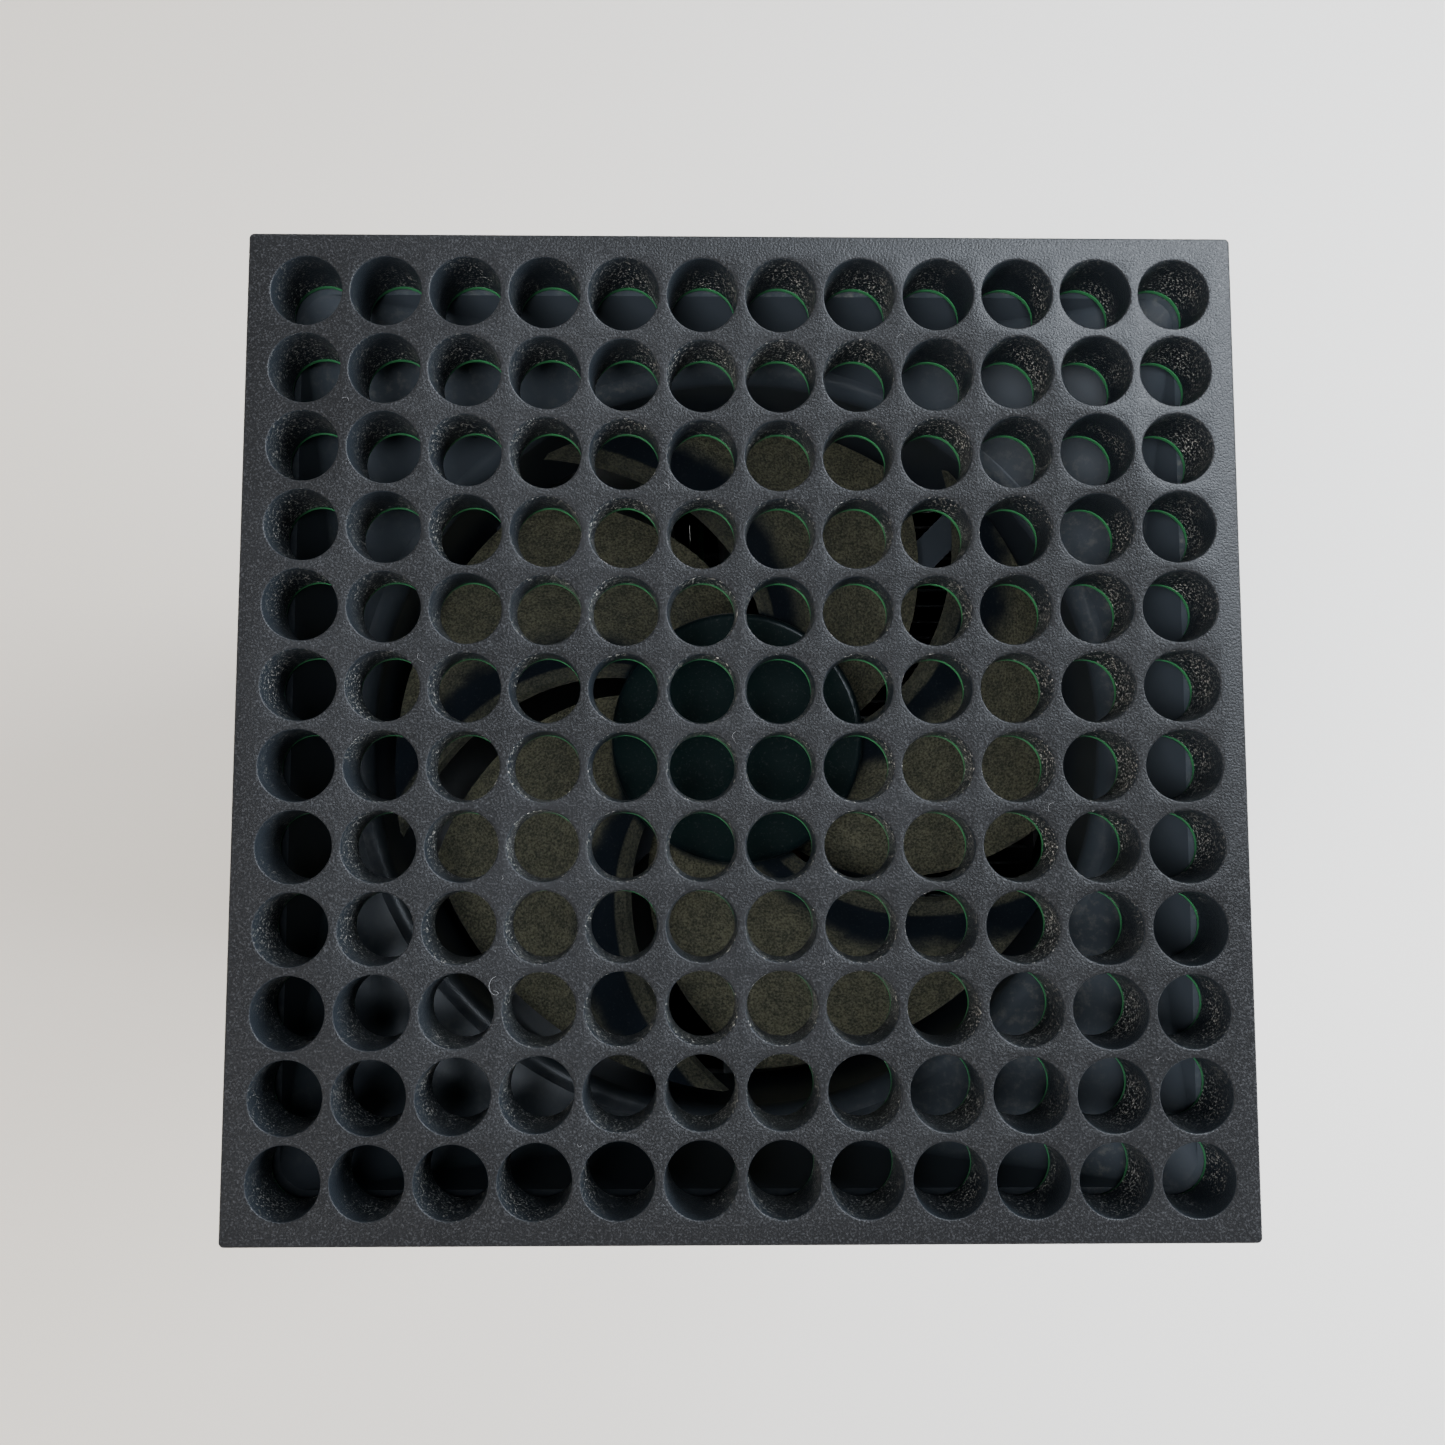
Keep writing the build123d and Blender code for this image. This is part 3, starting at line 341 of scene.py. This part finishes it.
def floor_paint():
    """Pale matt surface, with painted shade and warm light: a little warmer and darker towards -X."""
    surface = Surface("floor_paint", (0.80, 0.785, 0.76), roughness=0.6)
    cloud = surface.times(surface.noise(1.2, detail=3), 0.05)
    # painted shade and warm light: warmer and darker towards -X, lighter and neutral towards +X
    toward_lit_side = surface.step(surface.part(surface.place, "X"), -0.30, 0.22)
    warm, neutral = (0.80, 0.765, 0.715), (0.87, 0.87, 0.87)
    surface.drive("Base Color", surface.blend(surface.plus(toward_lit_side, cloud), warm, neutral))
    surface.bump((surface.noise(400, detail=3), 0.05 * MM, 0.2))
    return surface.material


CASE = case_plastic()
CASE_TOP = case_plastic("case_top_plastic", wall_dust_and_shade=True)
LINER = liner_paint()

SLOT_MATERIALS = {
    "case": CASE,
    "liner": LINER,
    "fan_plastic": blade_plastic(),
    "fan_frame": housing_plastic(),
    "rubber": soft_rubber(),
    "cast": metal("cast_aluminium", (0.55, 0.56, 0.57), 0.5, scale=1400, depth=0.08),
    "fins": metal("fin_sheet", (0.70, 0.71, 0.72), 0.32, stretch=(1.0, 1.0, 0.05)),
    "copper": metal("copper_plate", (0.80, 0.42, 0.26), 0.34, stretch=(1.0, 0.06, 1.0)),
    "sheet": metal("plated_sheet", (0.52, 0.53, 0.54), 0.4, stretch=(1.0, 0.08, 1.0)),
    "steel": metal("ground_steel", (0.48, 0.49, 0.50), 0.3, stretch=(1.0, 1.0, 0.1)),
    "screw": metal("black_zinc", (0.13, 0.13, 0.135), 0.38, scale=2600),
    "board": circuit_board(),
    "chip": plain_plastic("chip_epoxy", (0.022, 0.022, 0.025), 0.55, 2600),
    "inner": plain_plastic("inner_plastic", (0.035, 0.036, 0.04), 0.5),
    "button": plain_plastic("button_plastic", (0.045, 0.047, 0.052), 0.4, 3000),
    "window": plain_plastic("window_plastic", (0.010, 0.005, 0.008), 0.12, 400),
    "magnet": metal("ferrite", (0.10, 0.10, 0.105), 0.6, scale=1800, depth=0.05),
    "winding": enamelled_wire(),
    "pad": plain_plastic("gap_pad", (0.28, 0.30, 0.36), 0.8, 700),
    "port": metal("port_shell", (0.62, 0.63, 0.64), 0.3, stretch=(1.0, 0.05, 1.0)),
    "port_plastic": plain_plastic("port_plastic", (0.018, 0.018, 0.02), 0.45),
}
for entry in frame["record"]["subparts"]:
    node = frame["nodes"][entry["node"]]
    node.data.materials.clear()
    node.data.materials.append(SLOT_MATERIALS[entry["material_slot"]])


# ---------------------------------------------------------------- mesh helpers

def mesh_object(name, bm, material):
    """Make an object of a finished bmesh, smooth except at edges sharper than SMOOTH_ANGLE."""
    bmesh.ops.remove_doubles(bm, verts=bm.verts, dist=0.002 * MM)
    bmesh.ops.recalc_face_normals(bm, faces=bm.faces)
    mesh = bpy.data.meshes.new(name)
    bm.to_mesh(mesh)
    bm.free()
    mesh.polygons.foreach_set("use_smooth", [True] * len(mesh.polygons))
    mesh.set_sharp_from_angle(angle=math.radians(SMOOTH_ANGLE))
    piece = bpy.data.objects.new(name, mesh)
    bpy.context.scene.collection.objects.link(piece)
    mesh.materials.append(material)
    return piece


def bridge(bm, first, second):
    """Quads between two rings with the same number of vertices."""
    for index in range(len(first)):
        after = (index + 1) % len(first)
        bm.faces.new((first[index], first[after], second[after], second[index]))


def square_point(angle, half):
    """Where the ray at that angle leaves a square."""
    reach = half / max(abs(math.cos(angle)), abs(math.sin(angle)))
    return reach * math.cos(angle), reach * math.sin(angle)


def ring_at(bm, centre, radius, height):
    """A circle of vertices; height is a number or a function of x and y."""
    ring = []
    for index in range(SEGMENTS):
        angle = 2 * math.pi * index / SEGMENTS
        x = centre[0] + radius * math.cos(angle)
        y = centre[1] + radius * math.sin(angle)
        ring.append(bm.verts.new((x, y, height(x, y) if callable(height) else height)))
    return ring


def square_at(bm, centre, half, height):
    """The same number of vertices round a square."""
    ring = []
    for index in range(SEGMENTS):
        dx, dy = square_point(2 * math.pi * index / SEGMENTS, half)
        x, y = centre[0] + dx, centre[1] + dy
        ring.append(bm.verts.new((x, y, height(x, y) if callable(height) else height)))
    return ring


def hole_centres():
    """Centres of the square grid of holes, row by row."""
    middle = (HOLES - 1) / 2
    return [((column - middle) * PITCH, (row - middle) * PITCH)
            for row in range(HOLES) for column in range(HOLES)]


def border(half, corner, levels):
    """Rows of points for a closed band round a square plate, one row for each level and one before them.
    Levels are (inset from the side, height) pairs, from the upper face down to the lower one. The first row
    lies on the hole grid's outer square, whose vertices it repeats."""
    grid_half = HOLES * PITCH / 2
    side = []
    for cell in range(HOLES):
        middle = (cell - (HOLES - 1) / 2) * PITCH
        for index in range(-SEGMENTS // 8, SEGMENTS // 8):
            side.append(middle + PITCH / 2 * math.tan(2 * math.pi * index / SEGMENTS))
    arc_steps = 6
    least_radius = 0.02 * MM
    rows = [[] for _ in range(len(levels) + 1)]

    def add_arc_point(spin, bend, way, grid_corner):
        """One point of every row on a corner's arc, at the low (way -1) or high (way 1) end of a side."""
        for row, (inset, level) in zip(rows[1:], levels):
            radius = max(corner - inset, least_radius)
            centre = half - inset - radius
            x, y = centre + radius * math.cos(bend), way * centre + radius * math.sin(bend)
            point = spin @ Vector((x, y, 0))
            row.append((point.x, point.y, level))
        rows[0].append((grid_corner.x, grid_corner.y, None))

    for turn in range(4):
        spin = Matrix.Rotation(turn * math.pi / 2, 3, "Z")
        for place, along in enumerate(side):
            inner = spin @ Vector((grid_half, along, 0))
            if place == 0:
                for step in range(arc_steps + 1):
                    add_arc_point(spin, -math.pi / 4 + math.pi / 4 * step / arc_steps, -1, inner)
            else:
                limit = half - corner
                for row, (inset, level) in zip(rows[1:], levels):
                    y = max(-limit, min(limit, along * limit / grid_half))
                    point = spin @ Vector((half - inset, y, 0))
                    row.append((point.x, point.y, level))
                rows[0].append((inner.x, inner.y, None))
        # the first half of the next corner's arc; the next side starts with the second half
        end = spin @ Vector((grid_half, grid_half, 0))
        for step in range(arc_steps):
            add_arc_point(spin, math.pi / 4 * step / arc_steps, 1, end)
    return rows


# ---------------------------------------------------------------- dished top

def dish(x, y):
    """Height of the top's upper face: a shallow bowl that eases into flat corners."""
    share = 1 - (x * x + y * y) / DISH_RADIUS ** 2
    depth = DISH_DEPTH * share
    ease = 0.25 * MM
    return TOP_HIGH[2] - (depth + math.sqrt(depth * depth + ease * ease)) / 2


def add_plate_edges(bm, half, corner, top_round, top_height, bottom):
    """The rim of a plate, outside the hole grid: upper strip, rounded edge, side and lower strip."""
    levels = []
    steps = 5
    for step in range(steps + 1):
        bend = math.pi / 2 * step / steps
        inset = top_round * (1 - math.sin(bend))
        levels.append((inset, top_height - top_round * (1 - math.cos(bend))))
    seam = 0.2 * MM
    levels.append((0.0, bottom + seam))
    levels.append((seam, bottom))
    rows = border(half, corner, levels)
    first = [bm.verts.new((x, y, dish(x, y) if top_height == TOP_HIGH[2] else top_height))
             for x, y, _ in rows[0]]
    before = first
    for row in rows[1:]:
        current = [bm.verts.new(point) for point in row]
        bridge(bm, before, current)
        before = current
    last = [bm.verts.new((x, y, bottom)) for x, y, _ in rows[0]]
    bridge(bm, before, last)


def make_top():
    """The moulded top, with rounded hole rims, drafted hole walls and a rounded outer edge."""
    bm = bmesh.new()
    rim = 0.26 * MM
    rim_steps = 4
    wall_shares = (0.35, 0.7)        # how far down the wall its two middle rings are
    corner, edge_round = 0.8 * MM, 0.4 * MM
    for centre in hole_centres():
        rings = [square_at(bm, centre, PITCH / 2, dish)]
        rings.append(ring_at(bm, centre, HOLE_TOP + rim, dish))
        for step in range(1, rim_steps + 1):
            bend = math.pi / 2 * step / rim_steps
            radius = HOLE_TOP + rim * (1 - math.sin(bend))
            drop = rim * (1 - math.cos(bend))
            rings.append(ring_at(bm, centre, radius, lambda x, y, drop=drop: dish(x, y) - drop))
        for share in wall_shares:
            radius = HOLE_TOP + (HOLE_BOTTOM - HOLE_TOP) * share
            foot = TOP_LOW[2] * share
            rings.append(ring_at(bm, centre, radius, lambda x, y, share=share, foot=foot:
                                 (dish(x, y) - rim) * (1 - share) + foot))
        rings.append(ring_at(bm, centre, HOLE_BOTTOM, TOP_LOW[2]))
        rings.append(square_at(bm, centre, PITCH / 2, TOP_LOW[2]))
        for first, second in zip(rings, rings[1:]):
            bridge(bm, first, second)
    add_plate_edges(bm, HALF, corner, edge_round, TOP_HIGH[2], TOP_LOW[2])
    top = mesh_object("top_shell", bm, CASE_TOP)
    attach(top, "console")
    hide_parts("top_grille")


def make_liner():
    """The painted plate under the top, with a rounded lip round each hole."""
    bm = bmesh.new()
    lip = 0.12 * MM
    lip_steps = 4
    corner = 2 * MM
    below_top, inside_shell = 0.02 * MM, 0.2 * MM        # gaps; the second leaves room for LINER_SHIFT
    top, bottom = LINER_HIGH[2] - below_top, LINER_LOW[2]
    for centre in hole_centres():
        rings = [square_at(bm, centre, PITCH / 2, top)]
        for step in range(lip_steps + 1):
            bend = math.pi / 2 * step / lip_steps
            rings.append(ring_at(bm, centre, LINER_HOLE + lip * (1 - math.sin(bend)),
                                 top - lip * (1 - math.cos(bend))))
        rings.append(ring_at(bm, centre, LINER_HOLE, bottom))
        rings.append(square_at(bm, centre, PITCH / 2, bottom))
        for first, second in zip(rings, rings[1:]):
            bridge(bm, first, second)
    add_plate_edges(bm, LINER_HIGH[1] - inside_shell, corner, lip, top, bottom)
    bmesh.ops.translate(bm, verts=bm.verts, vec=LINER_SHIFT)
    liner = mesh_object("liner_plate", bm, LINER)
    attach(liner, "console")
    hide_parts("grille_liner")


make_top()
make_liner()


# ---------------------------------------------------------------- inside the sockets

GOLD = metal("gold_contact", (0.80, 0.58, 0.22), 0.25, scale=3000)
TONGUE = plain_plastic("tongue_plastic", (0.014, 0.014, 0.016), 0.42, 2600)
PLATED = metal("pin_plate", (0.66, 0.66, 0.67), 0.28, scale=2200)


def bar(bm, low, high, chamfer):
    """A block between two corners, with rounded edges."""
    middle = [(a + b) / 2 for a, b in zip(low, high)]
    size = [abs(b - a) for a, b in zip(low, high)]
    placed = Matrix.Translation(middle) @ Matrix.Diagonal((*size, 1))
    made = bmesh.ops.create_cube(bm, size=1, matrix=placed)
    edges = list({edge for vert in made["verts"] for edge in vert.link_edges})
    bmesh.ops.bevel(bm, geom=edges, offset=chamfer, segments=2, affect="EDGES", profile=0.5)


def socket_box(node, index=None):
    """Corners of a socket's node, or of one of several equal sockets stacked along Z in it."""
    low, high = (list(corner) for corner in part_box(node))
    if index is not None:
        tall = 14.2 * MM
        low[2], high[2] = (low[2], low[2] + tall) if index == 0 else (high[2] - tall, high[2])
    return low, high


def make_tongue(name, box, outward, thick, shift, span, contacts, width):
    """A socket's tongue with a row of contacts on it. outward is -1 for the front and 1 for the back."""
    low, high = box
    off_back, recess = 1.0 * MM, 1.2 * MM
    bare_root, bare_tip = 1.0 * MM, 0.8 * MM         # the tongue's length without contacts, at each end
    sunk, proud = 0.05 * MM, 0.12 * MM               # the contacts, into and out of the tongue's face
    row_share = 0.86                                 # of the tongue's width
    back = low[1] + off_back if outward > 0 else high[1] - off_back
    mouth = high[1] - recess if outward > 0 else low[1] + recess
    x = (low[0] + high[0]) / 2 + shift
    z = (low[2] + high[2]) / 2
    tongue = bmesh.new()
    bar(tongue, (x - thick / 2, back, z - span / 2), (x + thick / 2, mouth, z + span / 2), 0.15 * MM)
    strips = bmesh.new()
    for count in range(contacts):
        place = z + (count - (contacts - 1) / 2) * span * row_share / contacts
        bar(strips, (x + thick / 2 - sunk, back + outward * bare_root, place - width / 2),
            (x + thick / 2 + proud, mouth - outward * bare_tip, place + width / 2), 0.04 * MM)
    for piece, slot in ((mesh_object(name + "_tongue", tongue, TONGUE), "port_plastic"),
                        (mesh_object(name + "_contacts", strips, GOLD), "port")):
        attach(piece, "console")


def make_inlet_pins():
    """Two round pins with domed ends in the power inlet."""
    low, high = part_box("power_inlet")
    middle = ((low[0] + high[0]) / 2, (low[2] + high[2]) / 2)
    radius, spread = 1.2 * MM, 4.3 * MM
    back, tip = low[1] + 0.9 * MM, high[1] - 4.0 * MM
    turns, dome_steps = 24, 6
    profile = [(radius, back), (radius, tip - radius)]
    for step in range(1, dome_steps):
        bend = math.pi / 2 * step / dome_steps
        profile.append((radius * math.cos(bend), tip - radius + radius * math.sin(bend)))
    pins = bmesh.new()
    for side in (-1, 1):
        rings = [[pins.verts.new((middle[0] + size * math.cos(2 * math.pi * turn / turns), y,
                                  middle[1] + side * spread + size * math.sin(2 * math.pi * turn / turns)))
                  for turn in range(turns)] for size, y in profile]
        for first, second in zip(rings, rings[1:]):
            bridge(pins, first, second)
        pins.faces.new(rings[-1])
        pins.faces.new(list(reversed(rings[0])))
    piece = mesh_object("inlet_pins", pins, PLATED)
    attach(piece, "console")


def make_network_contacts():
    """Eight thin springs that slope across the network socket."""
    low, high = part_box("network_port")
    z = (low[2] + high[2]) / 2
    contacts, pitch, half_width, slope = 8, 1.02, 0.18 * MM, 0.28
    root, bend, tip = low[1] + 1.0 * MM, low[1] + 2 * MM, high[1] - 5.0 * MM
    springs = bmesh.new()
    for count in range(contacts):
        place = z + (count - (contacts - 1) / 2) * pitch * MM
        made = len(springs.verts)
        bar(springs, (high[0] - 1.4 * MM, root, place - half_width),
            (high[0] - 1.1 * MM, tip, place + half_width), 0.05 * MM)
        springs.verts.ensure_lookup_table()
        for vert in springs.verts[made:]:
            vert.co.x -= max(0.0, vert.co.y - bend) * slope
    piece = mesh_object("network_contacts", springs, GOLD)
    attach(piece, "console")


data_tongue = {"thick": 1.8 * MM, "shift": -1.0 * MM, "span": 11.2 * MM, "contacts": 4, "width": 1.1 * MM}
make_tongue("front_usb", socket_box("front_usb_port"), -1, **data_tongue)
for index in range(2):
    make_tongue(f"rear_usb_{index + 1}", socket_box("rear_usb_ports", index), 1, **data_tongue)
make_tongue("video", socket_box("video_port"), 1,
            thick=1.2 * MM, shift=0.0, span=11.6 * MM, contacts=10, width=0.45 * MM)
make_tongue("expansion", socket_box("expansion_slot"), 1,
            thick=1.2 * MM, shift=0.0, span=24.0 * MM, contacts=18, width=0.6 * MM)
make_inlet_pins()
make_network_contacts()


# ---------------------------------------------------------------- lint on the top

def make_lint():
    """One curl of lint on the rim of a hole, and ten short fibres over the top's face."""
    fibre = plain_plastic("lint_fibre", (0.24, 0.25, 0.27), 0.9, 5000)

    def strand(name, lines, radius):
        curve = bpy.data.curves.new(name, "CURVE")
        curve.dimensions = "3D"
        curve.bevel_depth = radius
        curve.bevel_resolution = 2
        curve.use_fill_caps = True
        for points in lines:
            spline = curve.splines.new("NURBS")
            spline.points.add(len(points) - 1)
            for point, place in zip(spline.points, points):
                point.co = (*place, 1)
            spline.order_u = 3
            spline.use_endpoint_u = True
        piece = bpy.data.objects.new(name, curve)
        bpy.context.scene.collection.objects.link(piece)
        curve.materials.append(fibre)
        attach(piece, "console")

    def over(x, y, lift):
        return (x, y, dish(x, y) + lift)

    hole = (-3.5 * PITCH, -3.5 * PITCH)
    curl = []
    curl_steps = 14
    for step in range(curl_steps + 1):
        turn = step / curl_steps
        angle = math.radians(40 + 400 * turn)
        size = (0.45 + 0.45 * turn) * MM
        x = hole[0] + 5.3 * MM + size * math.cos(angle)
        y = hole[1] + (4.6 - 2.6 * turn) * MM + size * math.sin(angle)
        curl.append(over(x, y, (0.2 + 0.5 * turn) * MM))
    strand("lint_curl", [curl], 0.025 * MM)
    lines = []
    for count in range(10):
        column = (count * 5 + 2) % 11 - 5
        row = (count * 7 + 3) % 11 - 5
        x = column * PITCH + math.sin(count * 2.1) * MM
        y = row * PITCH + math.cos(count * 1.7) * MM
        heading = count * 1.9
        length = (0.22 + 0.16 * (count % 3)) * MM
        line = []
        for step in range(4):
            bend = heading + 0.5 * step
            reach = length * step
            line.append(over(x + reach * math.cos(bend), y + reach * math.sin(bend), 0.05 * MM))
        lines.append(line)
    strand("lint_fibres", lines, 0.018 * MM)


make_lint()


# ---------------------------------------------------------------- stage, light and camera

def make_floor():
    """A wide flat floor, which is staged and isn't a piece of the object."""
    bm = bmesh.new()
    bmesh.ops.create_grid(bm, x_segments=8, y_segments=8, size=2.5)
    floor = mesh_object("floor", bm, floor_paint())


def area_light(name, place, aim, size, power, color, mirrored=False):
    """A square soft light at place, aimed at a point. One that is mirrored only shows in glossy surfaces."""
    light = bpy.data.lights.new(name, "AREA")
    light.shape = "SQUARE"
    light.size = size
    light.energy = power
    light.color = color
    lamp = bpy.data.objects.new(name, light)
    bpy.context.scene.collection.objects.link(lamp)
    lamp.location = place
    lamp.visible_camera = False
    lamp.visible_glossy = mirrored
    lamp.visible_diffuse = not mirrored
    lamp.rotation_euler = (Vector(aim) - Vector(place)).to_track_quat("-Z", "Y").to_euler()


def make_world():
    """Soft room: pale round the horizon, brighter to the right and back, and dim straight overhead."""
    world = bpy.data.worlds.new("soft_room")
    world.use_nodes = True
    tree = world.node_tree
    background = tree.nodes["Background"]
    place = tree.nodes.new("ShaderNodeTexCoord").outputs["Generated"]

    def share(direction, low, high, to_low, to_high):
        """Brightness that eases from to_low to to_high as a ray turns towards a direction."""
        dot = tree.nodes.new("ShaderNodeVectorMath")
        dot.operation = "DOT_PRODUCT"
        tree.links.new(place, dot.inputs[0])
        dot.inputs[1].default_value = direction
        ease = tree.nodes.new("ShaderNodeMapRange")
        ease.interpolation_type = "SMOOTHSTEP"
        ease.inputs["From Min"].default_value = low
        ease.inputs["From Max"].default_value = high
        ease.inputs["To Min"].default_value = to_low
        ease.inputs["To Max"].default_value = to_high
        tree.links.new(dot.outputs["Value"], ease.inputs["Value"])
        return ease.outputs["Result"]

    total = tree.nodes.new("ShaderNodeMath")
    total.operation = "MULTIPLY"
    tree.links.new(share((0, 0, 1), 0.30, 0.75, 0.60, 0.04), total.inputs[0])
    tree.links.new(share((0.75, 0.66, 0), -0.7, 0.7, 0.7, 1.3), total.inputs[1])
    tree.links.new(total.outputs["Value"], background.inputs["Strength"])
    background.inputs["Color"].default_value = (0.96, 0.98, 1.0, 1)
    bpy.context.scene.world = world


def make_lights():
    """One window, as a lamp that only shines in gloss and one that only lights, a ceiling and two fills."""
    target = (0, 0, 0.28)
    window, window_aim, window_size = (0.30, 0.31, 0.74), (0.05, 0.05, 0.30), 0.24
    area_light("window_sheen", window, window_aim, window_size, 4.8, (0.82, 0.90, 1.0), mirrored=True)
    area_light("window_light", window, window_aim, window_size, 1.6, (0.88, 0.94, 1.0))
    area_light("ceiling", (-0.28, -0.24, 1.40), target, 0.6, 20, (1.0, 0.985, 0.965))
    area_light("left_fill", (-1.3, -0.5, 0.9), target, 1.0, 12, (1.0, 0.84, 0.66))
    area_light("right_fill", (1.2, 0.1, 0.6), (0.4, 0, 0), 0.8, 45, (0.97, 0.99, 1.0))
    make_world()


def make_camera():
    """A wide lens close above the top, tipped a little towards the back."""
    data = bpy.data.cameras.new("camera")
    data.sensor_width = 36.0
    data.lens = 30.02
    camera = bpy.data.objects.new("camera", data)
    bpy.context.scene.collection.objects.link(camera)
    data.shift_x = 0.0011
    forward = Vector((0.0127, 0.0769, -0.9970)).normalized()
    up = Vector((-0.0008, 0.9970, 0.0769))
    right = forward.cross(up).normalized()
    up = right.cross(forward).normalized()
    turn = Matrix((right, up, -forward)).transposed().to_4x4()
    above_top = Vector((-5.5, -13.5, 179.1)) * MM
    camera.matrix_world = Matrix.Translation(above_top + Vector((0, 0, TOP_HIGH[2]))) @ turn
    data.clip_start = 0.01
    bpy.context.scene.camera = camera


make_floor()
make_lights()
make_camera()
